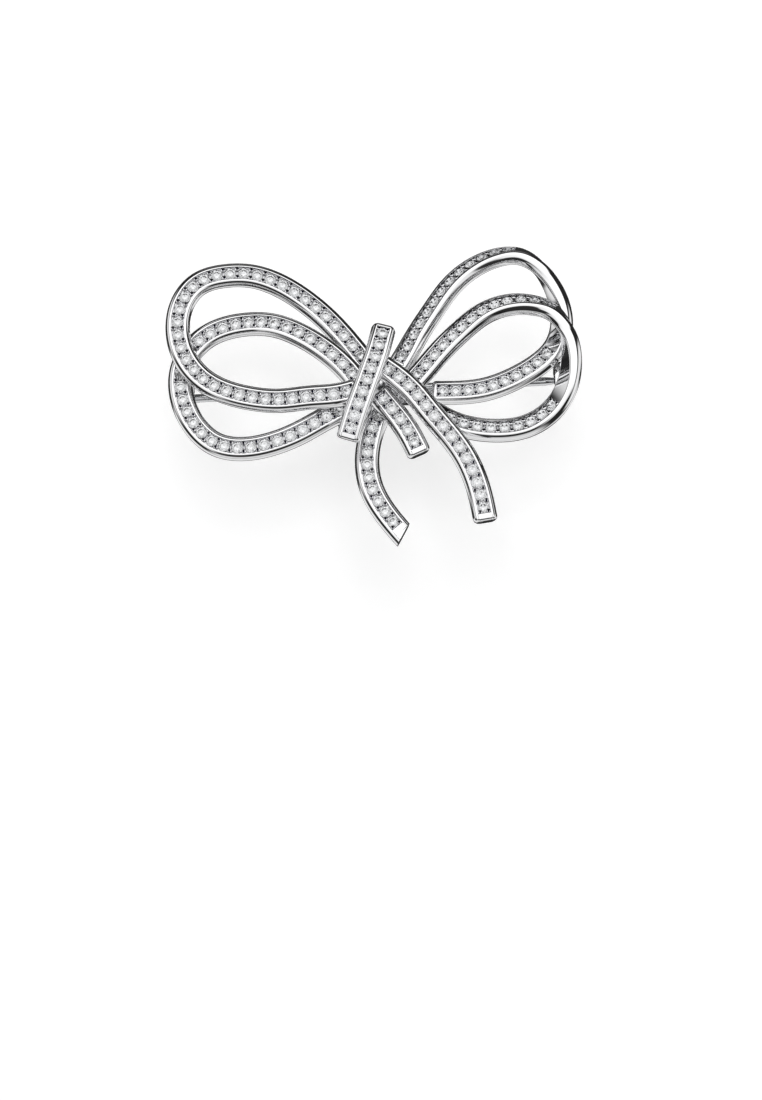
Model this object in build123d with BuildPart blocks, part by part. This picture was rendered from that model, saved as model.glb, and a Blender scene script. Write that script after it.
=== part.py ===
"""Bow brooch: eight stone-set ribbons round a knot, with a hinged pin and a turning safety lock at the back.

Millimetres. +Z is up as worn, the face looks along -Y, and the pin opens along +Y.
The origin is the centre of the whole brooch.
"""
from build123d import *
import math
import os

os.makedirs("parts", exist_ok=True)

# ribbon section
RIBBON_WIDTH = 2.3
RIBBON_THICKNESS = 1.4
EDGE_ROUND = 0.32
CHANNEL_WIDTH = 1.28
CHANNEL_DEPTH = 0.35

# round stones
STONE_RADIUS = 0.56
STONE_TABLE_RADIUS = 0.31
CROWN_HEIGHT = 0.17
GIRDLE_HEIGHT = 0.04
PAVILION_DEPTH = 0.48
STONE_RECESS = 0.20
STONE_PITCH = 1.31
SEAT_RADIUS = 0.40
FEWEST_SECTIONS = 4

# the middle of the knot, in the layer where the ribbons meet; every route and depth below is taken from here
KNOT_POINT = Vector(0, -1.54, -0.64)

# plate behind the knot
PLATE_DEPTH = 2.78
PLATE_THICKNESS = 0.8
PLATE_ARM_WIDTH = 1.3
PEG_RADIUS = 0.45
PLATE_HUB = (0.6, 0.6)

# pin works at the back, set out from the hinge axis along the line of the pin
PIN_DEPTH = 5.75
HINGE_AXIS = KNOT_POINT + Vector(-18.0, PIN_DEPTH, 1.2)
PIN_TILT = 2.9
PIN_RADIUS = 0.40
PIN_LENGTH = 37.4
PIN_TAPER_LENGTH = 3.0
PIN_TIP_RADIUS = 0.06
EYE_RADIUS = 0.95
EYE_THICKNESS = 1.1
EYE_GAP = 0.06
EAR_THICKNESS = 0.65
EAR_RADIUS = 1.0
FOOT_GAP = 0.15
FOOT_THICKNESS = 0.6
FOOT_LENGTH = 2.0
RIVET_RADIUS = 0.38
RIVET_CLEARANCE = 0.04
RIVET_FIT = 0.005
RIVET_HEAD_RADIUS = 0.6
RIVET_HEAD_HEIGHT = 0.2
RIVET_HEAD_TAPER = 20
POST_RADIUS = 0.55
HINGE_POST_DEPTH = 1.45
HINGE_POST_SHIFT = -0.35
CATCH_POST_DEPTH = 0.35
CATCH_POST_SHIFT = 0.1

CATCH_DISTANCE = 36.0
CATCH_WIDTH = 1.5
ROLLER_RADIUS = 1.15
ROLLER_BORE = 0.55
ROLLER_SLOT = 1.0
HOUSING_RADIUS = 1.8
NECK_WIDTH = 1.5
NECK_LENGTH = 2.3
CATCH_CLEARANCE = 0.06
RIB_HEIGHT = 0.2
RIB_WIDTH = 0.5
TAB_ANGLE = 50
TAB_REACH = 2.5
TAB_THICKNESS = 0.6
TAB_WIDTH = 1.1
MOUTH_FROM, MOUTH_TO = -36, 70
MOUTH_SIDE_REACH = 4
MOUTH_MIDDLE_REACH = 6

# the slanted cut at the end of the curved tail, as (x, z) from the knot point
TAIL_CUT = (2.82, -13.35)
TAIL_CUT_NORMAL = (0.885, -0.467)

TOWARD_VIEWER = Vector(0, -1, 0)


def ribbon_path(stations):
    """The middle line of a ribbon through (x, forward, z, roll) stations."""
    with BuildLine() as line:
        Spline(*[KNOT_POINT + Vector(x, -forward, z) for x, forward, z, roll in stations])
    return line.edges()[0]


def roll_at(stations, fraction):
    """The roll in degrees at a fraction of the ribbon's length, straight between stations."""
    reach = [0.0]
    for first, second in zip(stations, stations[1:]):
        reach.append(reach[-1] + math.dist(first[:3], second[:3]))
    wanted = fraction * reach[-1]
    for index in range(len(stations) - 1):
        if wanted <= reach[index + 1] or index == len(stations) - 2:
            share = (wanted - reach[index]) / (reach[index + 1] - reach[index])
            return stations[index][3] + share * (stations[index + 1][3] - stations[index][3])


def section_plane(path, stations, fraction):
    """Plane across the ribbon: local Y is the ribbon's face normal and local Z runs along the ribbon."""
    along = path.tangent_at(fraction * path.length, PositionMode.LENGTH)
    centre = path.position_at(fraction * path.length, PositionMode.LENGTH)
    outward = Vector(-along.Z, 0, along.X).normalized()
    roll = math.radians(roll_at(stations, fraction))
    face = TOWARD_VIEWER * math.cos(roll) + outward * math.sin(roll)
    face = (face - along * face.dot(along)).normalized()
    return Plane(origin=centre, x_dir=face.cross(along), z_dir=along)


def planes_between(path, stations, start, end, count):
    """Evenly spaced section planes from one fraction of the length to another."""
    step = (end - start) / (count - 1)
    return [section_plane(path, stations, start + step * index) for index in range(count)]


def stone_planes(path, stations, start, end, side):
    """One plane at each girdle, local Z out of the set face: the outer one at side 1, the inner one at -1."""
    count = int((end - start) * path.length / STONE_PITCH) + 1
    planes = []
    for index in range(count):
        across = section_plane(path, stations, start + (index + 0.5) * (end - start) / count)
        out = across.y_dir * side
        origin = across.origin + out * (RIBBON_THICKNESS / 2 - STONE_RECESS)
        planes.append(Plane(origin=origin, x_dir=across.z_dir, z_dir=out))
    return planes


def make_ribbon(stations, settings, section_count):
    """A ribbon with a channel and drilled seats in each (start, end, side) setting."""
    path = ribbon_path(stations)
    with BuildPart() as ribbon:
        for plane in planes_between(path, stations, 0, 1, section_count):
            with BuildSketch(plane):
                RectangleRounded(RIBBON_WIDTH, RIBBON_THICKNESS, EDGE_ROUND)
        loft()
        for start, end, side in settings:
            count = max(FEWEST_SECTIONS, round(section_count * (end - start)))
            middle = side * (RIBBON_THICKNESS / 2)
            for plane in planes_between(path, stations, start, end, count):
                with BuildSketch(plane):
                    with Locations((0, middle)):
                        Rectangle(CHANNEL_WIDTH, 2 * CHANNEL_DEPTH)
            loft(mode=Mode.SUBTRACT)
            with Locations(*stone_planes(path, stations, start, end, side)):
                Cylinder(SEAT_RADIUS, 3 * RIBBON_THICKNESS, mode=Mode.SUBTRACT)
    return ribbon


def make_stones(stations, settings):
    """The stones of a ribbon, each a separate solid with a table, a crown, a girdle and a pavilion."""
    path = ribbon_path(stations)
    planes = []
    for start, end, side in settings:
        planes += stone_planes(path, stations, start, end, side)
    with BuildPart() as stone:
        with BuildSketch(Plane.XZ):
            with BuildLine():
                Polyline(
                    (0, -PAVILION_DEPTH),
                    (STONE_RADIUS, 0),
                    (STONE_RADIUS, GIRDLE_HEIGHT),
                    (STONE_TABLE_RADIUS, GIRDLE_HEIGHT + CROWN_HEIGHT),
                    (0, GIRDLE_HEIGHT + CROWN_HEIGHT),
                    close=True,
                )
            make_face()
        revolve(axis=Axis.Z)
    with BuildPart() as stones:
        with Locations(*planes):
            add(stone.part)
    return stones


def write(part, name):
    part.label = name
    export_step(part, f"parts/{name}.step")


# Ribbon routes: (x, forward, z, roll). Roll 0 shows the outer face, 90 the front edge, 180 the inner face.
# The first and last stations lie under the knot.
LEFT_UPPER = [
    (-0.7, -0.9, 3.2, -2),
    (-2.6, -1.0, 5.65, -5),
    (-4.5, -1.0, 7.75, -7),
    (-6.5, -0.9, 9.45, -7),
    (-8.8, -0.6, 10.85, -6),
    (-11.4, -0.3, 11.7, -5),
    (-14.1, 0.0, 11.65, -3),
    (-16.5, 0.2, 10.8, -1),
    (-18.0, 0.4, 8.8, 0),
    (-18.4, 0.5, 6.1, 0),
    (-17.8, 0.6, 3.7, 0),
    (-16.3, 0.75, 1.6, 0),
    (-14.0, 1.1, 0.1, 0),
    (-11.3, 1.4, -0.7, 0),
    (-8.7, 1.8, -1.0, 0),
    (-6.0, 2.15, -0.8, 0),
    (-3.4, 2.3, -0.6, 0),
    (-1.5, 2.3, -0.1, 0),
]
LEFT_LOWER = [
    (-1.5, 0.75, 1.1, 0),
    (-2.6, 0.75, 2.4, -2),
    (-4.6, 0.75, 4.2, -4),
    (-7.0, 0.4, 5.8, -5),
    (-9.6, -0.2, 6.9, -4),
    (-12.3, -0.8, 7.1, -3),
    (-15.0, -1.0, 6.4, -1),
    (-17.0, -1.0, 4.8, 0),
    (-18.1, -0.9, 2.4, 0),
    (-17.9, -0.8, -0.4, 0),
    (-16.7, -0.5, -2.9, 0),
    (-14.7, -0.2, -4.7, 0),
    (-12.0, 0.1, -5.2, 0),
    (-9.2, 0.4, -4.7, 0),
    (-6.8, 0.5, -3.7, 0),
    (-4.5, 0.6, -2.4, 0),
    (-1.9, 0.6, -1.1, 0),
]
RIGHT_UPPER = [
    (1.8, -1.65, 2.4, 14),
    (2.8, -1.65, 4.0, 18),
    (4.2, -1.7, 6.5, 30),
    (5.7, -1.8, 8.9, 35),
    (7.4, -1.9, 11.3, 38),
    (9.5, -2.0, 13.1, 43),
    (11.8, -2.0, 14.1, 50),
    (13.8, -2.0, 14.2, 60),
    (15.4, -2.0, 13.3, 74),
    (16.9, -2.1, 11.3, 98),
    (17.7, -2.1, 8.9, 124),
    (17.7, -2.1, 6.8, 145),
    (16.9, -2.0, 4.9, 161),
    (15.2, -1.9, 3.3, 170),
    (12.8, -1.8, 1.9, 174),
    (10.3, -1.7, 1.0, 175),
    (7.6, -1.65, 0.7, 175),
    (5.5, -1.65, 0.7, 175),
]
RIGHT_LOWER = [
    (3.5, 0.45, 0.9, 10),
    (4.7, 0.45, 2.3, 11),
    (6.4, 0.5, 4.3, 14),
    (8.3, 0.5, 6.2, 20),
    (10.5, 0.5, 7.9, 26),
    (12.9, 0.5, 8.7, 34),
    (15.2, 0.5, 8.6, 46),
    (16.7, 0.5, 8.0, 58),
    (17.75, 0.5, 6.8, 76),
    (18.4, 0.5, 5.2, 100),
    (18.55, 0.5, 3.1, 121),
    (18.15, 0.5, 0.9, 136),
    (16.9, 0.45, -1.3, 151),
    (14.3, 0.45, -3.1, 162),
    (11.0, 0.4, -3.5, 165),
    (7.4, 0.3, -2.7, 162),
    (5.3, 0.2, -1.5, 160),
]
KNOT = [
    (1.0, 3.3, 5.7, 0),
    (0.7, 3.55, 4.5, 0),
    (0.3, 3.75, 3.0, 0),
    (-0.3, 3.8, 1.2, 0),
    (-1.1, 3.8, -1.1, 0),
    (-1.75, 3.6, -3.0, 0),
    (-2.4, 3.2, -5.15, 0),
]
LONG_TAIL = [
    (0.6, 2.25, 2.3, 0),
    (1.9, 2.25, 1.4, 0),
    (3.8, 2.4, -0.4, 0),
    (5.3, 2.4, -2.3, 0),
    (6.9, 2.2, -4.2, 0),
    (8.3, 2.0, -6.1, 0),
    (9.4, 1.8, -8.4, 0),
    (10.1, 1.6, -10.9, 0),
    (10.4, 1.6, -12.55, 0),
]
SHORT_TAIL = [
    (0.4, 0.75, 0.0, 0),
    (1.2, 0.75, -1.0, 0),
    (2.8, 0.9, -3.1, 0),
    (4.3, 1.0, -6.0, 0),
]
CURVED_TAIL = [
    (0.9, -0.75, -0.9, 0),
    (0.1, -0.75, -2.6, 0),
    (-0.45, -0.75, -4.5, 0),
    (-0.6, -0.6, -6.7, 0),
    (-0.1, -0.4, -9.1, 0),
    (1.1, -0.2, -11.3, 0),
    (2.4, 0.0, -13.0, 0),
    (3.8, 0.0, -14.6, 0),
]

# name: stations, stone settings as (start, end, side), number of sections
RIBBONS = {
    "left_upper_loop": (LEFT_UPPER, [(0.006, 0.992, 1)], 40),
    "left_lower_loop": (LEFT_LOWER, [(0.006, 0.98, 1)], 40),
    "right_upper_loop": (RIGHT_UPPER, [(0.03, 0.42, 1), (0.70, 0.99, -1)], 40),
    "right_lower_loop": (RIGHT_LOWER, [(0.012, 0.42, 1), (0.665, 0.96, -1)], 40),
    "knot_band": (KNOT, [(0.03, 0.95, 1)], 14),
    "long_tail": (LONG_TAIL, [(0.02, 0.965, 1)], 18),
    "short_tail": (SHORT_TAIL, [(0.03, 0.92, 1)], 8),
    "curved_tail": (CURVED_TAIL, [(0.03, 0.845, 1)], 14),
}
tail_cut = Plane(
    origin=KNOT_POINT + Vector(TAIL_CUT[0], 0, TAIL_CUT[1]),
    z_dir=(TAIL_CUT_NORMAL[0], 0, TAIL_CUT_NORMAL[1]),
)
ribbons = {}
for name, (stations, settings, section_count) in RIBBONS.items():
    ribbons[name] = make_ribbon(stations, settings, section_count)
    if name == "curved_tail":
        with ribbons[name]:
            split(bisect_by=tail_cut, keep=Keep.BOTTOM)
    write(ribbons[name].part, name)
    write(make_stones(stations, settings).part, name.replace("_loop", "").replace("_band", "") + "_stones")

# Back plate: a spider of flat arms behind the knot, with a peg soldered to the back of each ribbon's root.
# Each peg is (x, z, how far forward of the plate it reaches, ribbon).
PEGS = [
    (-1.3, 3.95, 1.4, "left_upper_loop"),
    (-2.9, -1.6, 2.9, "left_lower_loop"),
    (-0.5, -3.9, 1.4, "curved_tail"),
    (2.4, 3.3, 0.5, "right_upper_loop"),
    (6.2, 0.7, 0.5, "right_upper_loop"),
]
plate_face = Plane(origin=KNOT_POINT, x_dir=(1, 0, 0), z_dir=(0, -1, 0)).offset(-PLATE_DEPTH)
with BuildPart() as back_plate:
    with BuildSketch(plate_face):
        for x, z, reach, ribbon_name in PEGS:
            middle = ((x + PLATE_HUB[0]) / 2, (z + PLATE_HUB[1]) / 2)
            SlotCenterPoint(middle, (x, z), PLATE_ARM_WIDTH)
    extrude(amount=-PLATE_THICKNESS)
    for x, z, reach, ribbon_name in PEGS:
        with BuildSketch(plate_face):
            with Locations((x, z)):
                Circle(PEG_RADIUS)
        extrude(amount=reach)
        add(ribbons[ribbon_name].part, mode=Mode.SUBTRACT)
write(back_plate.part, "back_plate")

# The pin lies along works.x_dir and opens along works.z_dir, which is straight out of the back.
pin_line = Vector(math.cos(math.radians(PIN_TILT)), 0, math.sin(math.radians(PIN_TILT)))
works = Plane(origin=HINGE_AXIS, x_dir=pin_line, z_dir=(0, 1, 0))
side = Plane(origin=HINGE_AXIS, x_dir=pin_line, z_dir=-works.y_dir)
ear_inner = EYE_THICKNESS / 2 + EYE_GAP
ear_outer = ear_inner + EAR_THICKNESS
foot_top = -(EYE_RADIUS + FOOT_GAP)

with BuildPart() as pin_stem:
    with BuildSketch(side):
        Circle(EYE_RADIUS)
    extrude(amount=EYE_THICKNESS / 2, both=True)
    with BuildSketch(side):
        with BuildLine():
            Polyline(
                (RIVET_RADIUS, 0),
                (RIVET_RADIUS, PIN_RADIUS),
                (PIN_LENGTH - PIN_TAPER_LENGTH, PIN_RADIUS),
                (PIN_LENGTH, PIN_TIP_RADIUS),
                (PIN_LENGTH, 0),
                close=True,
            )
        make_face()
    revolve(axis=Axis(HINGE_AXIS, pin_line))
    with BuildSketch(side):
        Circle(RIVET_RADIUS + RIVET_CLEARANCE)
    extrude(amount=EYE_THICKNESS, both=True, mode=Mode.SUBTRACT)
write(pin_stem.part, "pin_stem")

with BuildPart() as hinge_rivet:
    with BuildSketch(side):
        Circle(RIVET_RADIUS)
    extrude(amount=ear_outer, both=True)
    for way in (1, -1):
        with BuildSketch(side.offset(way * ear_outer)):
            Circle(RIVET_HEAD_RADIUS)
        extrude(amount=way * RIVET_HEAD_HEIGHT, taper=RIVET_HEAD_TAPER)
write(hinge_rivet.part, "hinge_rivet")

with BuildPart() as hinge_bracket:
    for way in (1, -1):
        with BuildSketch(side.offset(way * ear_inner)):
            Circle(EAR_RADIUS)
            with Locations((0, foot_top / 2)):
                Rectangle(2 * EAR_RADIUS, -foot_top)
        extrude(amount=way * EAR_THICKNESS)
    with BuildSketch(side):
        with Locations((0, foot_top - FOOT_THICKNESS / 2)):
            Rectangle(FOOT_LENGTH, FOOT_THICKNESS)
    extrude(amount=ear_outer, both=True)
    with BuildSketch(side):
        Circle(RIVET_RADIUS + RIVET_FIT)
    extrude(amount=2 * ear_outer, both=True, mode=Mode.SUBTRACT)
    with BuildSketch(works.offset(foot_top - FOOT_THICKNESS / 2)):
        with Locations((HINGE_POST_SHIFT, 0)):
            Circle(POST_RADIUS)
    extrude(amount=HINGE_POST_DEPTH - (PIN_DEPTH + foot_top - FOOT_THICKNESS / 2))
    add(ribbons["left_lower_loop"].part, mode=Mode.SUBTRACT)
write(hinge_bracket.part, "hinge_bracket")

# Catch: the roller turns about the line of the pin. Local X is down and local Y is out of the back.
catch_centre = HINGE_AXIS + pin_line * CATCH_DISTANCE
catch = Plane(origin=catch_centre, x_dir=works.y_dir, z_dir=pin_line)


def around(angle, radius):
    """A point in the catch plane, at an angle from straight out of the back towards down."""
    return (radius * math.sin(math.radians(angle)), radius * math.cos(math.radians(angle)))


with BuildPart() as catch_body:
    with BuildSketch(catch):
        Circle(HOUSING_RADIUS)
        with Locations((0, -HOUSING_RADIUS / 2)):
            Rectangle(NECK_WIDTH, NECK_LENGTH)
    extrude(amount=CATCH_WIDTH / 2, both=True)
    with BuildSketch(works.offset(-HOUSING_RADIUS)):
        with Locations((CATCH_DISTANCE + CATCH_POST_SHIFT, 0)):
            Circle(POST_RADIUS)
    extrude(amount=CATCH_POST_DEPTH - (PIN_DEPTH - HOUSING_RADIUS))
    with BuildSketch(catch):
        Circle(ROLLER_RADIUS + CATCH_CLEARANCE)
    extrude(amount=CATCH_WIDTH, both=True, mode=Mode.SUBTRACT)
    with BuildSketch(catch):
        Circle(ROLLER_RADIUS + RIB_HEIGHT + CATCH_CLEARANCE)
    extrude(amount=RIB_WIDTH / 2 + CATCH_CLEARANCE, both=True, mode=Mode.SUBTRACT)
    with BuildSketch(catch):
        with BuildLine():
            Polyline(
                (0, 0),
                around(MOUTH_FROM, MOUTH_SIDE_REACH),
                around((MOUTH_FROM + MOUTH_TO) / 2, MOUTH_MIDDLE_REACH),
                around(MOUTH_TO, MOUTH_SIDE_REACH),
                close=True,
            )
        make_face()
    extrude(amount=CATCH_WIDTH, both=True, mode=Mode.SUBTRACT)
    add(ribbons["right_lower_loop"].part, mode=Mode.SUBTRACT)
write(catch_body.part, "catch_body")

with BuildPart() as catch_roller:
    with BuildSketch(catch):
        Circle(ROLLER_RADIUS)
    extrude(amount=CATCH_WIDTH / 2, both=True)
    with BuildSketch(catch):
        Circle(ROLLER_RADIUS + RIB_HEIGHT)
    extrude(amount=RIB_WIDTH / 2, both=True)
    with BuildSketch(catch):
        with Locations(Location(around(TAB_ANGLE, (ROLLER_BORE + TAB_REACH) / 2), -TAB_ANGLE)):
            Rectangle(TAB_THICKNESS, TAB_REACH - ROLLER_BORE)
    extrude(amount=TAB_WIDTH / 2, both=True)
    with BuildSketch(catch):
        Circle(ROLLER_BORE)
        with Locations((0, ROLLER_RADIUS)):
            Rectangle(ROLLER_SLOT, 2 * ROLLER_RADIUS)
    extrude(amount=CATCH_WIDTH, both=True, mode=Mode.SUBTRACT)
write(catch_roller.part, "catch_roller")
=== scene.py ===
import math

import bmesh
import bpy
import numpy as np
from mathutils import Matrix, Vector


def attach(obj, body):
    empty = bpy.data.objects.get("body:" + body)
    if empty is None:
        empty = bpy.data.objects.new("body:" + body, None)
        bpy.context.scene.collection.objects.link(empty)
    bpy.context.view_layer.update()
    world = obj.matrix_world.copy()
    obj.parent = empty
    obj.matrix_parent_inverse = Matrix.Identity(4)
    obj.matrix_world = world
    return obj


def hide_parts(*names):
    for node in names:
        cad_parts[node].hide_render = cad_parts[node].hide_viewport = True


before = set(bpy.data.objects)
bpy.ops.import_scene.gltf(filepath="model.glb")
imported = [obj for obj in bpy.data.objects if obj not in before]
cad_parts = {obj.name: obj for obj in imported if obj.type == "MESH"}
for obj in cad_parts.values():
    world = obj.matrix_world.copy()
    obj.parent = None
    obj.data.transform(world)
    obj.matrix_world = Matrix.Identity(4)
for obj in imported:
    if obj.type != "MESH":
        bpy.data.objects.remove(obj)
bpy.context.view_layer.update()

MM = 0.001

# ---------------------------------------------------------------- sizes of the CAD model, in millimetres
KNOT_POINT = np.array((0.0, -1.54, -0.64))
RIBBON_WIDTH = 2.3
RIBBON_THICKNESS = 1.4
CHANNEL_WIDTH = 1.28
CHANNEL_DEPTH = 0.35
STONE_RADIUS = 0.56
STONE_PITCH = 1.31
STONE_RECESS = 0.20
SEAT_RADIUS = 0.40
TAIL_CUT = (2.82, -13.35)
TAIL_CUT_NORMAL = (0.885, -0.467)

# ---------------------------------------------------------------- sizes of the looks, in millimetres
# along a ribbon
POINTS_PER_STATION = 40
TANGENT_STEP = 0.02
RING_STEP = 0.16
RING_CLEARANCE = 0.4 * RING_STEP
CHANNEL_END_STEP = 0.012
END_RINGS = (0.01, 0.04, 0.09, 0.22, 0.4)

# across a ribbon: rounded edges, crowned walls that lean in towards the faces, and the rails' inner lips
EDGE_ROUND = 0.44
CORNER_STEPS = 7
CROWN_SHARES = (-0.66, -0.33, 0.0, 0.33, 0.66)
WALL_BULGE = 0.10
WALL_LEAN = 15.0
END_ROUND = 0.40
END_SOFTEN = 0.22
CUT_RIM = 0.13
CHANNEL_LIP = 0.05
LIP_MIDDLE = 0.3
RECESS_MARGIN = 0.01
BAND_SHARP_ANGLE = 38

# open seats under the stones, from just under the girdle to below the ribbon
SEAT_HEIGHTS = (-0.05, -1.6)
SEAT_SIDES = 24

# every facet of a stone stays sharp
FACET_SHARP_ANGLE = 1

# beads
BEAD_RADIUS = 0.235
BEAD_OFFSET = 0.395
BEAD_DOME = 0.11
PIT_RADIUS = 0.12
PIT_DEPTH = 0.14
PIT_RIM_DEPTH = 0.04
BEAD_FOOT = 0.03
BEAD_END_INSET = 0.2
DOME_STEPS = 6
BEAD_SIDES = 14
BEAD_SHARP_ANGLE = 60

# polishing marks and plating tone
NOISE_LOW, NOISE_HIGH = 0.3, 0.7
TONE_GRAIN = 900
HAZE_GRAIN = 4000
RIPPLE_HEIGHT = 0.02

# Ribbon routes: (x, forward, z, roll). Roll 0 shows the outer face, 90 the front edge, 180 the inner face.
LEFT_UPPER = [
    (-0.7, -0.9, 3.2, -2),
    (-2.6, -1.0, 5.65, -5),
    (-4.5, -1.0, 7.75, -7),
    (-6.5, -0.9, 9.45, -7),
    (-8.8, -0.6, 10.85, -6),
    (-11.4, -0.3, 11.7, -5),
    (-14.1, 0.0, 11.65, -3),
    (-16.5, 0.2, 10.8, -1),
    (-18.0, 0.4, 8.8, 0),
    (-18.4, 0.5, 6.1, 0),
    (-17.8, 0.6, 3.7, 0),
    (-16.3, 0.75, 1.6, 0),
    (-14.0, 1.1, 0.1, 0),
    (-11.3, 1.4, -0.7, 0),
    (-8.7, 1.8, -1.0, 0),
    (-6.0, 2.15, -0.8, 0),
    (-3.4, 2.3, -0.6, 0),
    (-1.5, 2.3, -0.1, 0),
]
LEFT_LOWER = [
    (-1.5, 0.75, 1.1, 0),
    (-2.6, 0.75, 2.4, -2),
    (-4.6, 0.75, 4.2, -4),
    (-7.0, 0.4, 5.8, -5),
    (-9.6, -0.2, 6.9, -4),
    (-12.3, -0.8, 7.1, -3),
    (-15.0, -1.0, 6.4, -1),
    (-17.0, -1.0, 4.8, 0),
    (-18.1, -0.9, 2.4, 0),
    (-17.9, -0.8, -0.4, 0),
    (-16.7, -0.5, -2.9, 0),
    (-14.7, -0.2, -4.7, 0),
    (-12.0, 0.1, -5.2, 0),
    (-9.2, 0.4, -4.7, 0),
    (-6.8, 0.5, -3.7, 0),
    (-4.5, 0.6, -2.4, 0),
    (-1.9, 0.6, -1.1, 0),
]
RIGHT_UPPER = [
    (1.8, -1.65, 2.4, 14),
    (2.8, -1.65, 4.0, 18),
    (4.2, -1.7, 6.5, 30),
    (5.7, -1.8, 8.9, 35),
    (7.4, -1.9, 11.3, 38),
    (9.5, -2.0, 13.1, 43),
    (11.8, -2.0, 14.1, 50),
    (13.8, -2.0, 14.2, 60),
    (15.4, -2.0, 13.3, 74),
    (16.9, -2.1, 11.3, 98),
    (17.7, -2.1, 8.9, 124),
    (17.7, -2.1, 6.8, 145),
    (16.9, -2.0, 4.9, 161),
    (15.2, -1.9, 3.3, 170),
    (12.8, -1.8, 1.9, 174),
    (10.3, -1.7, 1.0, 175),
    (7.6, -1.65, 0.7, 175),
    (5.5, -1.65, 0.7, 175),
]
RIGHT_LOWER = [
    (3.5, 0.45, 0.9, 10),
    (4.7, 0.45, 2.3, 11),
    (6.4, 0.5, 4.3, 14),
    (8.3, 0.5, 6.2, 20),
    (10.5, 0.5, 7.9, 26),
    (12.9, 0.5, 8.7, 34),
    (15.2, 0.5, 8.6, 46),
    (16.7, 0.5, 8.0, 58),
    (17.75, 0.5, 6.8, 76),
    (18.4, 0.5, 5.2, 100),
    (18.55, 0.5, 3.1, 121),
    (18.15, 0.5, 0.9, 136),
    (16.9, 0.45, -1.3, 151),
    (14.3, 0.45, -3.1, 162),
    (11.0, 0.4, -3.5, 165),
    (7.4, 0.3, -2.7, 162),
    (5.3, 0.2, -1.5, 160),
]
KNOT = [
    (1.0, 3.3, 5.7, 0),
    (0.7, 3.55, 4.5, 0),
    (0.3, 3.75, 3.0, 0),
    (-0.3, 3.8, 1.2, 0),
    (-1.1, 3.8, -1.1, 0),
    (-1.75, 3.6, -3.0, 0),
    (-2.4, 3.2, -5.15, 0),
]
LONG_TAIL = [
    (0.6, 2.25, 2.3, 0),
    (1.9, 2.25, 1.4, 0),
    (3.8, 2.4, -0.4, 0),
    (5.3, 2.4, -2.3, 0),
    (6.9, 2.2, -4.2, 0),
    (8.3, 2.0, -6.1, 0),
    (9.4, 1.8, -8.4, 0),
    (10.1, 1.6, -10.9, 0),
    (10.4, 1.6, -12.55, 0),
]
SHORT_TAIL = [
    (0.4, 0.75, 0.0, 0),
    (1.2, 0.75, -1.0, 0),
    (2.8, 0.9, -3.1, 0),
    (4.3, 1.0, -6.0, 0),
]
CURVED_TAIL = [
    (0.9, -0.75, -0.9, 0),
    (0.1, -0.75, -2.6, 0),
    (-0.45, -0.75, -4.5, 0),
    (-0.6, -0.6, -6.7, 0),
    (-0.1, -0.4, -9.1, 0),
    (1.1, -0.2, -11.3, 0),
    (2.4, 0.0, -13.0, 0),
    (3.8, 0.0, -14.6, 0),
]

# name: stations, stone settings as (start, end, side)
RIBBONS = {
    "left_upper_loop": (LEFT_UPPER, [(0.006, 0.992, 1)]),
    "left_lower_loop": (LEFT_LOWER, [(0.006, 0.98, 1)]),
    "right_upper_loop": (RIGHT_UPPER, [(0.03, 0.42, 1), (0.70, 0.99, -1)]),
    "right_lower_loop": (RIGHT_LOWER, [(0.012, 0.42, 1), (0.665, 0.96, -1)]),
    "knot_band": (KNOT, [(0.03, 0.95, 1)]),
    "long_tail": (LONG_TAIL, [(0.02, 0.965, 1)]),
    "short_tail": (SHORT_TAIL, [(0.03, 0.92, 1)]),
    "curved_tail": (CURVED_TAIL, [(0.03, 0.845, 1)]),
}


def route(stations):
    """Positions along a smooth curve through the stations, and the length up to each, in millimetres."""
    points = np.array([KNOT_POINT + np.array((x, -forward, z)) for x, forward, z, roll in stations])
    chord = np.concatenate([[0], np.cumsum(np.linalg.norm(np.diff(points, axis=0), axis=1))])
    bend = spline_bends(chord, points)
    fine = np.linspace(0, chord[-1], POINTS_PER_STATION * len(points))
    places = spline_at(chord, points, bend, fine)
    length = np.concatenate([[0], np.cumsum(np.linalg.norm(np.diff(places, axis=0), axis=1))])
    return places, length


def spline_bends(chord, points):
    """Second derivatives of the natural cubic spline through the points."""
    count = len(chord)
    system = np.eye(count)
    wanted = np.zeros_like(points)
    for i in range(1, count - 1):
        before = chord[i] - chord[i - 1]
        after = chord[i + 1] - chord[i]
        system[i, i - 1] = before
        system[i, i] = 2 * (before + after)
        system[i, i + 1] = after
        wanted[i] = 6 * ((points[i + 1] - points[i]) / after - (points[i] - points[i - 1]) / before)
    return np.linalg.solve(system, wanted)


def spline_at(chord, points, bend, where):
    """Points of the spline at the wanted chord lengths."""
    index = np.clip(np.searchsorted(chord, where, side="right") - 1, 0, len(chord) - 2)
    span = (chord[index + 1] - chord[index])[:, None]
    left = (chord[index + 1] - where)[:, None]
    right = (where - chord[index])[:, None]
    curve = bend[index] * left**3 / (6 * span) + bend[index + 1] * right**3 / (6 * span)
    first = (points[index] / span - bend[index] * span / 6) * left
    second = (points[index + 1] / span - bend[index + 1] * span / 6) * right
    return curve + first + second


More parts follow.
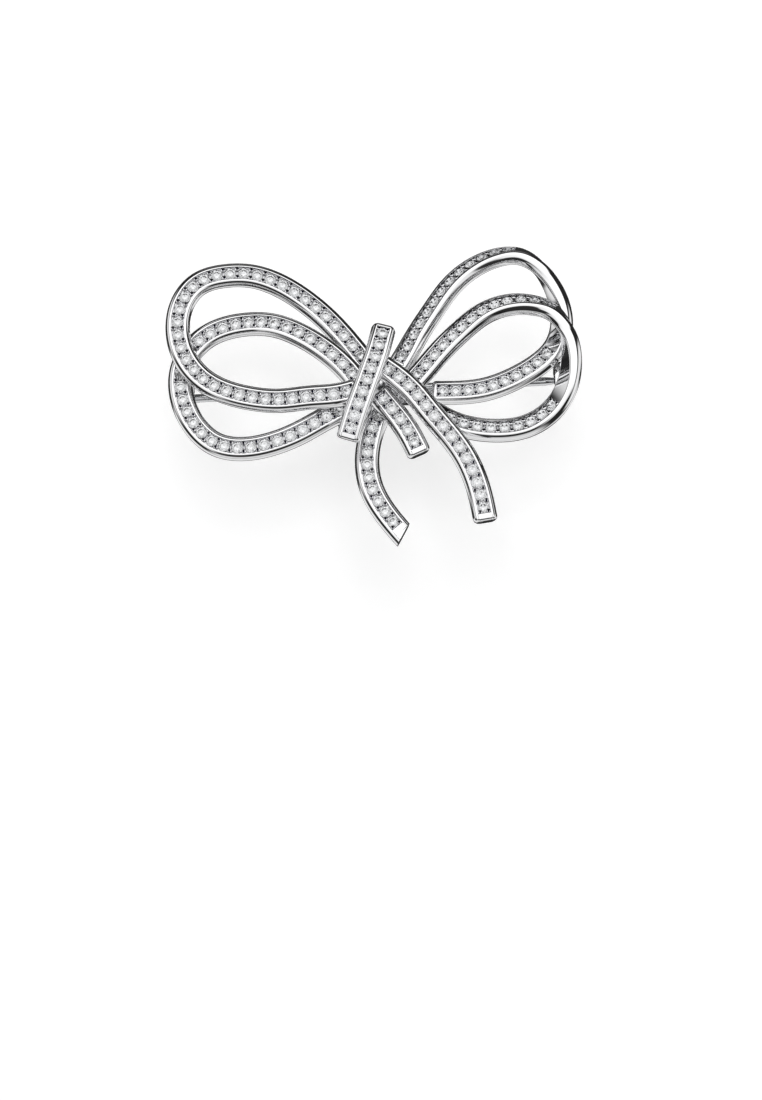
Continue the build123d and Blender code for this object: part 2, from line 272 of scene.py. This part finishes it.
class Ribbon:
    """The middle line of a ribbon with its roll: gives a section's frame at any fraction of its length."""

    def __init__(self, stations):
        self.places, self.lengths = route(stations)
        self.length = self.lengths[-1]
        reach = [0.0]
        for first, second in zip(stations, stations[1:]):
            reach.append(reach[-1] + math.dist(first[:3], second[:3]))
        self.reach = np.array(reach) / reach[-1]
        self.rolls = np.array([s[3] for s in stations], float)

    def place(self, distance):
        return np.array([np.interp(distance, self.lengths, self.places[:, k]) for k in range(3)])

    def section(self, fraction):
        """(centre, across, face normal, along) of the section at a fraction of the length."""
        distance = fraction * self.length
        low, high = max(0.0, distance - TANGENT_STEP), min(self.length, distance + TANGENT_STEP)
        along = self.place(high) - self.place(low)
        along /= np.linalg.norm(along)
        outward = np.array((-along[2], 0, along[0]))
        outward /= np.linalg.norm(outward)
        roll = math.radians(float(np.interp(fraction, self.reach, self.rolls)))
        face = np.array((0, -1, 0)) * math.cos(roll) + outward * math.sin(roll)
        face -= along * face.dot(along)
        face /= np.linalg.norm(face)
        return self.place(distance), np.cross(face, along), face, along


def wall_and_corners(side):
    """One long side of a section, from one face round to the other: a crowned wall between rounded edges."""
    half_width, half_thick = RIBBON_WIDTH / 2, RIBBON_THICKNESS / 2
    lean = math.radians(WALL_LEAN)
    wall_x = half_width - WALL_BULGE
    wall_y = half_thick - EDGE_ROUND * (1 - math.sin(lean))
    centre_x = wall_x - EDGE_ROUND * math.cos(lean)
    upper = []
    for k in range(CORNER_STEPS + 1):
        angle = lean + (math.pi / 2 - lean) * k / CORNER_STEPS
        height = half_thick - EDGE_ROUND + EDGE_ROUND * math.sin(angle)
        upper.append((centre_x + EDGE_ROUND * math.cos(angle), height))
    crown = []
    for share in CROWN_SHARES:
        crown.append((half_width - WALL_BULGE * share**2, wall_y * share))
    lower = [(x, -y) for x, y in reversed(upper)]
    return [(side * x, side * y) for x, y in lower + crown + upper]


def channel_outline(side, depth):
    """One face of a section, from the top of one rail to the other: a channel that may be of no depth."""
    top = side * RIBBON_THICKNESS / 2
    wall = side * CHANNEL_WIDTH / 2
    lip = CHANNEL_LIP * depth / CHANNEL_DEPTH
    half = [
        (wall + side * CHANNEL_LIP, top),
        (wall + side * CHANNEL_LIP * LIP_MIDDLE, top - side * lip * LIP_MIDDLE),
        (wall, top - side * lip),
        (wall, top - side * depth),
    ]
    return half + [(-x, y) for x, y in reversed(half)]


def section_outline(outer_depth, inner_depth):
    """Section corners in (across, face) millimetres: right side, outer face, left side, inner face."""
    return (
        wall_and_corners(1)
        + channel_outline(1, outer_depth)
        + wall_and_corners(-1)
        + channel_outline(-1, inner_depth)
    )


def end_inset(distance, reach):
    """How far a section draws in near a rounded end."""
    if distance >= reach:
        return 0.0
    return reach - math.sqrt(reach**2 - (reach - distance) ** 2)


def ribbon_mesh(name, ribbon, settings):
    """One closed skin of rings along the ribbon, capped, with a channel let in where stones are set."""
    cut = CHANNEL_END_STEP / ribbon.length
    stops = set(np.linspace(0, 1, int(ribbon.length / RING_STEP) + 1))
    for start, end, side in settings:
        for edge in (start, end):
            stops = {stop for stop in stops if abs(stop - edge) > RING_CLEARANCE / ribbon.length}
            stops |= {edge - cut, edge + cut}
    for distance in END_RINGS:
        stops |= {distance / ribbon.length, 1 - distance / ribbon.length}
    mesh = bmesh.new()
    shade = mesh.verts.layers.float.new("painted_shade")
    rings = []
    for fraction in sorted(stops):
        depths = {1: 0.0, -1: 0.0}
        for start, end, side in settings:
            if start < fraction < end:
                depths[side] = CHANNEL_DEPTH
        from_end = min(fraction, 1 - fraction) * ribbon.length
        narrow = 1 - end_inset(from_end, END_ROUND) / (RIBBON_WIDTH / 2)
        thin = 1 - end_inset(from_end, END_SOFTEN) / (RIBBON_THICKNESS / 2)
        centre, across, face, along = ribbon.section(fraction)
        ring = []
        for x, y in section_outline(depths[1], depths[-1]):
            vert = mesh.verts.new((centre + across * (x * narrow) + face * (y * thin)) * MM)
            # painted shade: the channel floor and its walls get the darker recess colour, more the deeper
            # they lie below the face
            below_face = (RIBBON_THICKNESS / 2 - abs(y)) / CHANNEL_DEPTH
            vert[shade] = min(1.0, below_face) if abs(x) < CHANNEL_WIDTH / 2 + RECESS_MARGIN else 0.0
            ring.append(vert)
        rings.append(ring)
    count = len(rings[0])
    for first, second in zip(rings, rings[1:]):
        for k in range(count):
            mesh.faces.new((first[k], second[k], second[(k + 1) % count], first[(k + 1) % count]))
    mesh.faces.new(rings[0])
    mesh.faces.new(list(reversed(rings[-1])))
    bmesh.ops.recalc_face_normals(mesh, faces=mesh.faces)
    if name.startswith("curved_tail"):
        cut_slanted(mesh)
    return make_object(name, mesh, BAND_SHARP_ANGLE)


def make_object(name, mesh, sharp_angle):
    """Turns a bmesh into a smooth-shaded object whose edges above an angle stay sharp."""
    data = bpy.data.meshes.new(name)
    mesh.to_mesh(data)
    mesh.free()
    data.shade_smooth()
    data.set_sharp_from_angle(angle=math.radians(sharp_angle))
    piece = bpy.data.objects.new(name, data)
    bpy.context.scene.collection.objects.link(piece)
    return piece


def cut_slanted(mesh):
    """Takes the curved tail's end off along its slanted cut and closes it, with its sharp rim broken."""
    x, z = TAIL_CUT
    place = Vector(((KNOT_POINT[0] + x) * MM, 0, (KNOT_POINT[2] + z) * MM))
    normal = Vector((TAIL_CUT_NORMAL[0], 0, TAIL_CUT_NORMAL[1]))
    everything = list(mesh.verts) + list(mesh.edges) + list(mesh.faces)
    made = bmesh.ops.bisect_plane(
        mesh, geom=everything, plane_co=place, plane_no=normal, clear_outer=True, dist=1e-8
    )
    rim = [e for e in made["geom_cut"] if isinstance(e, bmesh.types.BMEdge)]
    bmesh.ops.contextual_create(mesh, geom=rim)
    bmesh.ops.bevel(
        mesh, geom=rim, offset=CUT_RIM * MM, segments=4, profile=0.5, affect="EDGES", clamp_overlap=True
    )
    bmesh.ops.recalc_face_normals(mesh, faces=mesh.faces)


def stone_frames(ribbon, settings):
    """(girdle centre, out, along) of each stone of a ribbon, in groups, one for each setting."""
    groups = []
    for start, end, side in settings:
        count = int((end - start) * ribbon.length / STONE_PITCH) + 1
        group = []
        for index in range(count):
            centre, across, face, along = ribbon.section(start + (index + 0.5) * (end - start) / count)
            out = face * side
            group.append((centre + out * (RIBBON_THICKNESS / 2 - STONE_RECESS), out, along))
        groups.append(group)
    return groups


def brilliant_shape():
    """Points and facets of a round brilliant of unit girdle radius, table up, girdle foot at height 0."""
    table, crown, girdle, pavilion = 0.56, 0.30, 0.07, 0.84
    kite_radius, kite_share = 0.80, 0.48
    main_radius, main_share = 0.24, 0.76
    points, facets = [], []

    def ring(radius, height, count, turn):
        first = len(points)
        for k in range(count):
            angle = 2 * math.pi * (k + turn) / count
            points.append((radius * math.cos(angle), radius * math.sin(angle), height))
        return list(range(first, first + count))

    top = girdle + crown
    tables = ring(table, top, 8, 0.0)
    kites = ring(kite_radius, girdle + crown * kite_share, 8, 0.5)
    upper = ring(1.0, girdle, 16, 0.0)
    lower = ring(1.0, 0.0, 16, 0.0)
    mains = ring(main_radius, -pavilion * main_share, 8, 0.5)
    points.append((0, 0, -pavilion))
    culet = len(points) - 1
    facets.append(tables)
    for k in range(8):
        following = (k + 1) % 8
        odd = (2 * k + 1) % 16
        even, next_even = 2 * k, (2 * k + 2) % 16
        facets.append((tables[k], kites[k], tables[following]))
        facets.append((tables[k], upper[even], kites[k]))
        facets.append((kites[k], upper[next_even], tables[following]))
        facets.append((kites[k], upper[even], upper[odd]))
        facets.append((kites[k], upper[odd], upper[next_even]))
        facets.append((lower[even], mains[k], lower[odd]))
        facets.append((lower[odd], mains[k], lower[next_even]))
        facets.append((lower[even], culet, mains[k]))
        facets.append((mains[k], culet, lower[next_even]))
    for k in range(16):
        following = (k + 1) % 16
        facets.append((upper[k], lower[k], lower[following], upper[following]))
    return points, facets


def stones_object(name, ribbon, settings):
    """All the stones of a ribbon as one piece of separate closed brilliants."""
    points, facets = brilliant_shape()
    mesh = bmesh.new()
    for group in stone_frames(ribbon, settings):
        for origin, out, along in group:
            sideways = np.cross(out, along)
            corners = []
            for x, y, z in points:
                local = along * x + sideways * y + out * z
                corners.append(mesh.verts.new((origin + local * STONE_RADIUS) * MM))
            for facet in facets:
                mesh.faces.new([corners[i] for i in facet])
    bmesh.ops.recalc_face_normals(mesh, faces=mesh.faces)
    return make_object(name, mesh, FACET_SHARP_ANGLE)


def bead_profile():
    """(radius, height, painted shade) down a dimpled bead, from the bottom of its dimple out to its foot."""
    profile = [
        (0.0, -PIT_DEPTH, 1.0),
        (PIT_RADIUS * 0.7, -PIT_DEPTH, 1.0),
        (PIT_RADIUS * 0.95, -PIT_RIM_DEPTH, 0.9),
    ]
    lip = math.asin(PIT_RADIUS / BEAD_RADIUS)
    for k in range(DOME_STEPS + 1):
        angle = lip + (math.pi / 2 - lip) * k / DOME_STEPS
        drop = BEAD_DOME * (math.cos(lip) - math.cos(angle))
        profile.append((BEAD_RADIUS * math.sin(angle), -drop, 0.0))
    profile.append((BEAD_RADIUS, -CHANNEL_DEPTH - BEAD_FOOT, 0.0))
    return profile


def add_bead(mesh, shade, top, out, along):
    """One closed dimpled bead whose lip is at top."""
    sideways = np.cross(out, along)
    rings = []
    for radius, height, painted_shade in bead_profile():
        ring = []
        for k in range(BEAD_SIDES if radius > 0 else 1):
            angle = 2 * math.pi * k / BEAD_SIDES
            around = along * math.cos(angle) + sideways * math.sin(angle)
            vert = mesh.verts.new((top + around * radius + out * height) * MM)
            # painted shade: the dimple's floor and rim take the recess value and so the near black colour
            vert[shade] = painted_shade
            ring.append(vert)
        rings.append(ring)
    for k in range(BEAD_SIDES):
        mesh.faces.new((rings[0][0], rings[1][k], rings[1][(k + 1) % BEAD_SIDES]))
    for first, second in zip(rings[1:], rings[2:]):
        for k in range(BEAD_SIDES):
            following = (k + 1) % BEAD_SIDES
            mesh.faces.new((first[k], second[k], second[following], first[following]))
    mesh.faces.new(list(reversed(rings[-1])))


def drill_seats(piece, ribbon, settings):
    """Cuts the open seat under each stone right through the ribbon."""
    mesh = bmesh.new()
    shade = mesh.verts.layers.float.new("painted_shade")
    for group in stone_frames(ribbon, settings):
        for origin, out, along in group:
            sideways = np.cross(out, along)
            rings = []
            for height in SEAT_HEIGHTS:
                ring = []
                for k in range(SEAT_SIDES):
                    angle = 2 * math.pi * k / SEAT_SIDES
                    reach = (along * math.cos(angle) + sideways * math.sin(angle)) * SEAT_RADIUS
                    vert = mesh.verts.new((origin + reach + out * height) * MM)
                    # painted shade: the seat walls take the full recess value, so they are painted in the
                    # darker recess colour
                    vert[shade] = 1.0
                    ring.append(vert)
                rings.append(ring)
            upper, lower = rings
            for k in range(SEAT_SIDES):
                following = (k + 1) % SEAT_SIDES
                mesh.faces.new((upper[k], upper[following], lower[following], lower[k]))
            mesh.faces.new(upper)
            mesh.faces.new(list(reversed(lower)))
    bmesh.ops.recalc_face_normals(mesh, faces=mesh.faces)
    cutter = make_object("seat_cutter", mesh, 60)
    cut = piece.modifiers.new("seats", "BOOLEAN")
    cut.operation = "DIFFERENCE"
    cut.object = cutter
    cut.solver = "MANIFOLD"
    scene_graph = bpy.context.evaluated_depsgraph_get()
    drilled = bpy.data.meshes.new_from_object(piece.evaluated_get(scene_graph))
    piece.modifiers.clear()
    piece.data = drilled
    drilled.name = piece.name
    drilled.set_sharp_from_angle(angle=math.radians(BAND_SHARP_ANGLE))
    bpy.data.objects.remove(cutter)


def beads_object(name, ribbon, settings):
    """The raised beads that hold the stones: two in each gap, one by each rail."""
    mesh = bmesh.new()
    shade = mesh.verts.layers.float.new("painted_shade")
    for start, end, side in settings:
        count = int((end - start) * ribbon.length / STONE_PITCH) + 1
        for index in range(count + 1):
            fraction = start + index * (end - start) / count
            inset = BEAD_END_INSET / ribbon.length
            inside = min(max(fraction, start + inset), end - inset)
            centre, across, face, along = ribbon.section(inside)
            out = face * side
            for sideways in (-1, 1):
                top = centre + out * (RIBBON_THICKNESS / 2) + across * (sideways * BEAD_OFFSET)
                add_bead(mesh, shade, top, out, along)
    bmesh.ops.recalc_face_normals(mesh, faces=mesh.faces)
    return make_object(name, mesh, BEAD_SHARP_ANGLE)


# ---------------------------------------------------------------- materials
def node_material(name):
    """A new node material with its tree and its shader."""
    material = bpy.data.materials.new(name)
    material.use_nodes = True
    tree = material.node_tree
    shader = tree.nodes["Principled BSDF"]
    return material, tree, shader


def noise(tree, scale, detail, position):
    """Noise in object space, so that it stays with the piece."""
    texture = tree.nodes.new("ShaderNodeTexNoise")
    texture.inputs["Scale"].default_value = scale
    texture.inputs["Detail"].default_value = detail
    tree.links.new(position.outputs["Object"], texture.inputs["Vector"])
    return texture


def spread(tree, value, low, high):
    """Maps noise to a range."""
    mapper = tree.nodes.new("ShaderNodeMapRange")
    mapper.inputs["From Min"].default_value = NOISE_LOW
    mapper.inputs["From Max"].default_value = NOISE_HIGH
    mapper.inputs["To Min"].default_value = low
    mapper.inputs["To Max"].default_value = high
    tree.links.new(value, mapper.inputs["Value"])
    return mapper.outputs["Result"]


def polished_metal(name, light, dark, smooth, rough, wave, bump, painted_shade_tone=None):
    """Plated metal: a faint tone change, polishing haze in the roughness, and a very slight waviness.

    The recess colour is painted shade: it darkens the metal down in a channel, a seat or a dimple.
    """
    material, tree, shader = node_material(name)
    position = tree.nodes.new("ShaderNodeTexCoord")
    tone = noise(tree, TONE_GRAIN, 3, position)
    ramp = tree.nodes.new("ShaderNodeValToRGB")
    ramp.color_ramp.elements[0].position = NOISE_LOW
    ramp.color_ramp.elements[0].color = (*dark, 1)
    ramp.color_ramp.elements[1].position = NOISE_HIGH
    ramp.color_ramp.elements[1].color = (*light, 1)
    tree.links.new(tone.outputs["Fac"], ramp.inputs["Fac"])
    tone_colour = ramp.outputs["Color"]
    # painted shade: the recess attribute mixes the darker recess colour into the base colour
    if painted_shade_tone:
        painted_shade = tree.nodes.new("ShaderNodeAttribute")
        painted_shade.attribute_name = "painted_shade"
        blend = tree.nodes.new("ShaderNodeMix")
        blend.data_type = "RGBA"
        blend.inputs["B"].default_value = (*painted_shade_tone, 1)
        tree.links.new(painted_shade.outputs["Fac"], blend.inputs["Factor"])
        tree.links.new(tone_colour, blend.inputs["A"])
        tone_colour = blend.outputs["Result"]
    tree.links.new(tone_colour, shader.inputs["Base Color"])
    haze = noise(tree, HAZE_GRAIN, 4, position)
    tree.links.new(spread(tree, haze.outputs["Fac"], smooth, rough), shader.inputs["Roughness"])
    ripple = noise(tree, wave, 2, position)
    height = tree.nodes.new("ShaderNodeBump")
    height.inputs["Strength"].default_value = bump
    height.inputs["Distance"].default_value = RIPPLE_HEIGHT * MM
    tree.links.new(ripple.outputs["Fac"], height.inputs["Height"])
    tree.links.new(height.outputs["Normal"], shader.inputs["Normal"])
    shader.inputs["Metallic"].default_value = 1.0
    return material


def clear_stone(name):
    """Colourless brilliant: high index glass with a trace of grey mottling."""
    material, tree, shader = node_material(name)
    position = tree.nodes.new("ShaderNodeTexCoord")
    tone = noise(tree, 2500, 2, position)
    ramp = tree.nodes.new("ShaderNodeValToRGB")
    ramp.color_ramp.elements[0].color = (0.93, 0.95, 0.98, 1)
    ramp.color_ramp.elements[1].color = (1, 1, 1, 1)
    tree.links.new(tone.outputs["Fac"], ramp.inputs["Fac"])
    tree.links.new(ramp.outputs["Color"], shader.inputs["Base Color"])
    shader.inputs["Roughness"].default_value = 0.0
    shader.inputs["IOR"].default_value = 2.1
    shader.inputs["Transmission Weight"].default_value = 1.0
    return material


def stage_material():
    """Matt white paper, seen from its front only, so that it never hides the brooch from a view behind it."""
    material, tree, shader = node_material("backdrop paper")
    position = tree.nodes.new("ShaderNodeTexCoord")
    grain = noise(tree, 60, 4, position)
    ramp = tree.nodes.new("ShaderNodeValToRGB")
    ramp.color_ramp.elements[0].color = (0.94, 0.94, 0.94, 1)
    ramp.color_ramp.elements[1].color = (0.96, 0.96, 0.96, 1)
    tree.links.new(grain.outputs["Fac"], ramp.inputs["Fac"])
    tree.links.new(ramp.outputs["Color"], shader.inputs["Base Color"])
    shader.inputs["Roughness"].default_value = 0.9
    shader.inputs["Specular IOR Level"].default_value = 0.0
    shader.inputs["Emission Color"].default_value = (1, 1, 1, 1)
    shader.inputs["Emission Strength"].default_value = 0.20
    clear = tree.nodes.new("ShaderNodeBsdfTransparent")
    which = tree.nodes.new("ShaderNodeNewGeometry")
    mix = tree.nodes.new("ShaderNodeMixShader")
    output = tree.nodes["Material Output"]
    tree.links.new(which.outputs["Backfacing"], mix.inputs["Fac"])
    tree.links.new(shader.outputs["BSDF"], mix.inputs[1])
    tree.links.new(clear.outputs["BSDF"], mix.inputs[2])
    tree.links.new(mix.outputs["Shader"], output.inputs["Surface"])
    return material


# painted shade: grey painted on the metal down in the channels and the seats
CHANNEL_SHADE_TONE = (0.62, 0.62, 0.64)
# painted shade and painted reflection: near black painted in the bead dimples, standing in for shade there
# and for the beads' dark reflected spot
PIT_SHADE_TONE = (0.004, 0.005, 0.016)
silver = polished_metal(
    "rhodium plate", (0.96, 0.96, 0.965), (0.93, 0.93, 0.94), 0.03, 0.07, 350, 0.10, CHANNEL_SHADE_TONE
)
bead_silver = polished_metal(
    "bead metal", (0.93, 0.93, 0.95), (0.86, 0.86, 0.88), 0.06, 0.14, 1500, 0.3, PIT_SHADE_TONE
)
plain_silver = polished_metal("plain plate", (0.95, 0.95, 0.955), (0.91, 0.91, 0.92), 0.04, 0.09, 350, 0.12)
pin_steel = polished_metal("pin steel", (0.86, 0.87, 0.88), (0.80, 0.81, 0.83), 0.08, 0.16, 500, 0.15)
crystal = clear_stone("clear stone")


def finish_piece(piece, body, slot_name, material, *nodes):
    """Gives a piece its material and its body, and hides the CAD nodes that it stands for. The slot name is
    not used.
    """
    piece.data.materials.clear()
    piece.data.materials.append(material)
    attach(piece, body)
    if nodes:
        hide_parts(*nodes)


for name, (stations, settings) in RIBBONS.items():
    ribbon = Ribbon(stations)
    short = name.replace("_loop", "").replace("_band", "")
    band = ribbon_mesh(f"{name}_look", ribbon, settings)
    drill_seats(band, ribbon, settings)
    finish_piece(band, "brooch", "polished_silver", silver, name)
    stones = stones_object(f"{short}_stones_look", ribbon, settings)
    finish_piece(stones, "brooch", "clear_stone", crystal, f"{short}_stones")
    finish_piece(beads_object(f"{short}_beads", ribbon, settings), "brooch", "polished_silver", bead_silver)

for name in ("back_plate", "hinge_bracket", "hinge_rivet", "catch_body", "catch_roller"):
    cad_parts[name].data.materials.clear()
    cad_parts[name].data.materials.append(plain_silver)
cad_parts["pin_stem"].data.materials.clear()
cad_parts["pin_stem"].data.materials.append(pin_steel)

# ---------------------------------------------------------------- stage, light and camera
WALL_Y = 45 * MM
FLOOR_Z = -150 * MM
BEND = 60 * MM
BEND_STEPS = 16
HALF_STAGE = 500 * MM
WALL_TOP = 400 * MM
FLOOR_FRONT = -700 * MM

# the camera's long lens, its tilt, the height of its view and where it aims from the knot, right and up
LENS = 135.0
SENSOR = 36.0
CAMERA_TILT = 13.0
VIEW_HEIGHT = 103.1
AIM_RIGHT = 0.69
AIM_UP = -14.49

KEY_PLACE = (0.0, -0.9, -0.13)
KEY_SIZE = 0.16
KEY_POWER = 1.9


def make_stage():
    """A paper sweep: a wall behind the brooch that bends into a floor well below it."""
    profile = [(WALL_Y, WALL_TOP), (WALL_Y, FLOOR_Z + BEND)]
    for k in range(1, BEND_STEPS):
        angle = math.radians(90 * k / BEND_STEPS)
        profile.append((WALL_Y - BEND * (1 - math.cos(angle)), FLOOR_Z + BEND * (1 - math.sin(angle))))
    profile += [(WALL_Y - BEND, FLOOR_Z), (FLOOR_FRONT, FLOOR_Z)]
    mesh = bmesh.new()
    rows = []
    for y, z in profile:
        rows.append([mesh.verts.new((x, y, z)) for x in (-HALF_STAGE, HALF_STAGE)])
    for first, second in zip(rows, rows[1:]):
        mesh.faces.new((first[0], first[1], second[1], second[0]))
    mesh.normal_update()
    mesh.faces.ensure_lookup_table()
    if mesh.faces[0].normal.y > 0:
        bmesh.ops.reverse_faces(mesh, faces=mesh.faces)
    sweep = make_object("stage_sweep", mesh, 60)
    sweep.data.materials.append(stage_material())
    sweep.visible_glossy = False


def world_step(tree, value, low, high, at_low, at_high):
    """A smooth change from one brightness to another as a direction's share goes from low to high."""
    step = tree.nodes.new("ShaderNodeMapRange")
    step.interpolation_type = "SMOOTHSTEP"
    step.inputs["From Min"].default_value = low
    step.inputs["From Max"].default_value = high
    step.inputs["To Min"].default_value = at_low
    step.inputs["To Max"].default_value = at_high
    tree.links.new(value, step.inputs["Value"])
    return step.outputs["Result"]


def world_math(tree, operation, first, second):
    """A sum, product or the like of two brightnesses, either of which may be a plain number."""
    result = tree.nodes.new("ShaderNodeMath")
    result.operation = operation
    for socket, value in zip(result.inputs, (first, second)):
        if isinstance(value, float):
            socket.default_value = value
        else:
            tree.links.new(value, socket)
    return result.outputs["Value"]


def world_dot(tree, direction, towards):
    """How nearly a direction points the given way."""
    dot = tree.nodes.new("ShaderNodeVectorMath")
    dot.operation = "DOT_PRODUCT"
    dot.inputs[1].default_value = towards
    tree.links.new(direction.outputs["Generated"], dot.inputs[0])
    return dot.outputs["Value"]


def make_world():
    """A white tent in front and a pale one behind, with a dark gap all round between them.

    The gap draws the dark lines along the polished edges. Soft panels stand in it on all four sides.
    A narrow dark card low in front, and the dark middle and upper half behind, deepen the level arms' lines.
    """
    world = bpy.data.worlds.new("studio")
    bpy.context.scene.world = world
    world.use_nodes = True
    tree = world.node_tree
    background = tree.nodes["Background"]
    direction = tree.nodes.new("ShaderNodeTexCoord")
    split = tree.nodes.new("ShaderNodeSeparateXYZ")
    tree.links.new(direction.outputs["Generated"], split.inputs["Vector"])
    x, y, z = split.outputs["X"], split.outputs["Y"], split.outputs["Z"]

    # the tent in front, brighter towards the top, with the dark card let into it
    ahead = world_dot(tree, direction, (0.0, -0.99, -0.14))
    tent = world_step(tree, z, -0.9, 0.5, 0.58, 1.26)
    half_square = world_math(tree, "MULTIPLY", 0.5, world_math(tree, "MULTIPLY", x, x))
    low_front = world_math(tree, "ADD", world_dot(tree, direction, (0.0, -0.725, -0.688)), half_square)
    aside = world_math(tree, "ABSOLUTE", x, 0.0)
    card_width = world_step(tree, aside, 0.46, 0.60, 0.96, 0.0)
    low_card = world_math(tree, "MULTIPLY", card_width, world_step(tree, low_front, 0.905, 0.95, 0.0, 1.0))
    tent = world_math(tree, "MULTIPLY", tent, world_math(tree, "SUBTRACT", 1.0, low_card))
    front = world_math(tree, "MULTIPLY", world_step(tree, ahead, 0.52, 0.66, 0.0, 1.0), tent)

    # the pale tent behind
    middle = world_step(tree, aside, 0.35, 0.55, 1.0, 0.0)
    low_middle = world_math(tree, "MULTIPLY", middle, world_step(tree, z, -0.52, -0.32, 0.0, 0.96))
    shade_behind = world_math(tree, "MAXIMUM", low_middle, world_step(tree, z, -0.04, 0.10, 0.0, 0.96))
    pale = world_math(tree, "MULTIPLY", world_math(tree, "SUBTRACT", 1.0, shade_behind), 0.80)
    behind = world_math(tree, "MULTIPLY", world_step(tree, y, 0.36, 0.60, 0.0, 1.0), pale)

    # the panels in the gap
    not_ahead = world_step(tree, ahead, 0.40, 0.55, 1.0, 0.0)
    gap = world_math(tree, "MULTIPLY", not_ahead, world_step(tree, y, 0.36, 0.5, 1.0, 0.0))
    right_panel = world_step(tree, x, 0.86, 0.95, 0.02, 0.85)
    top_panel = world_step(tree, z, 0.90, 0.97, 0.0, 0.10)
    left = world_step(tree, x, -0.85, -0.60, 0.72, 0.0)
    upper_left = world_math(tree, "MULTIPLY", left, world_step(tree, z, -0.20, 0.08, 0.0, 1.0))
    left_panel = world_math(tree, "MULTIPLY", upper_left, world_step(tree, y, 0.10, 0.30, 1.0, 0.0))
    low = world_step(tree, z, -0.85, -0.65, 0.75, 0.0)
    low_panel = world_math(tree, "MULTIPLY", low, world_step(tree, y, -0.60, 0.12, 0.0, 1.0))
    side_panels = world_math(tree, "ADD", right_panel, left_panel)
    flat_panels = world_math(tree, "ADD", top_panel, low_panel)
    panels = world_math(tree, "MULTIPLY", gap, world_math(tree, "ADD", side_panels, flat_panels))

    total = world_math(tree, "ADD", world_math(tree, "ADD", front, behind), panels)
    tree.links.new(total, background.inputs["Strength"])
    background.inputs["Color"].default_value = (1, 1, 1, 1)


def area_light(name, place, aim, size, power):
    """A round soft light that isn't mirrored in the metal or seen through the stones."""
    data = bpy.data.lights.new(name, "AREA")
    data.shape = "DISK"
    data.size = size
    data.energy = power
    light = bpy.data.objects.new(name, data)
    light.location = place
    light.rotation_euler = (Vector(aim) - Vector(place)).to_track_quat("-Z", "Y").to_euler()
    light.visible_glossy = False
    light.visible_transmission = False
    bpy.context.scene.collection.objects.link(light)


def make_camera():
    """Long lens a little below the face's normal, framed so that the bow sits in the upper half."""
    data = bpy.data.cameras.new("camera")
    data.lens = LENS
    data.sensor_width = SENSOR
    camera = bpy.data.objects.new("camera", data)
    bpy.context.scene.collection.objects.link(camera)
    tilt = math.radians(CAMERA_TILT)
    back = Vector((0, -math.cos(tilt), -math.sin(tilt)))
    up = Vector((0, -math.sin(tilt), math.cos(tilt)))
    aim = Vector(KNOT_POINT * MM) + (Vector((1, 0, 0)) * AIM_RIGHT + up * AIM_UP) * MM
    camera.location = aim + back * (VIEW_HEIGHT * MM * LENS / SENSOR)
    camera.rotation_euler = (-back).to_track_quat("-Z", "Y").to_euler()
    data.clip_start = 0.01
    data.clip_end = 10
    bpy.context.scene.camera = camera


make_stage()
make_world()
area_light("key", KEY_PLACE, (0, 0, 0), KEY_SIZE, KEY_POWER)
make_camera()
bpy.context.scene.view_settings.view_transform = "Standard"
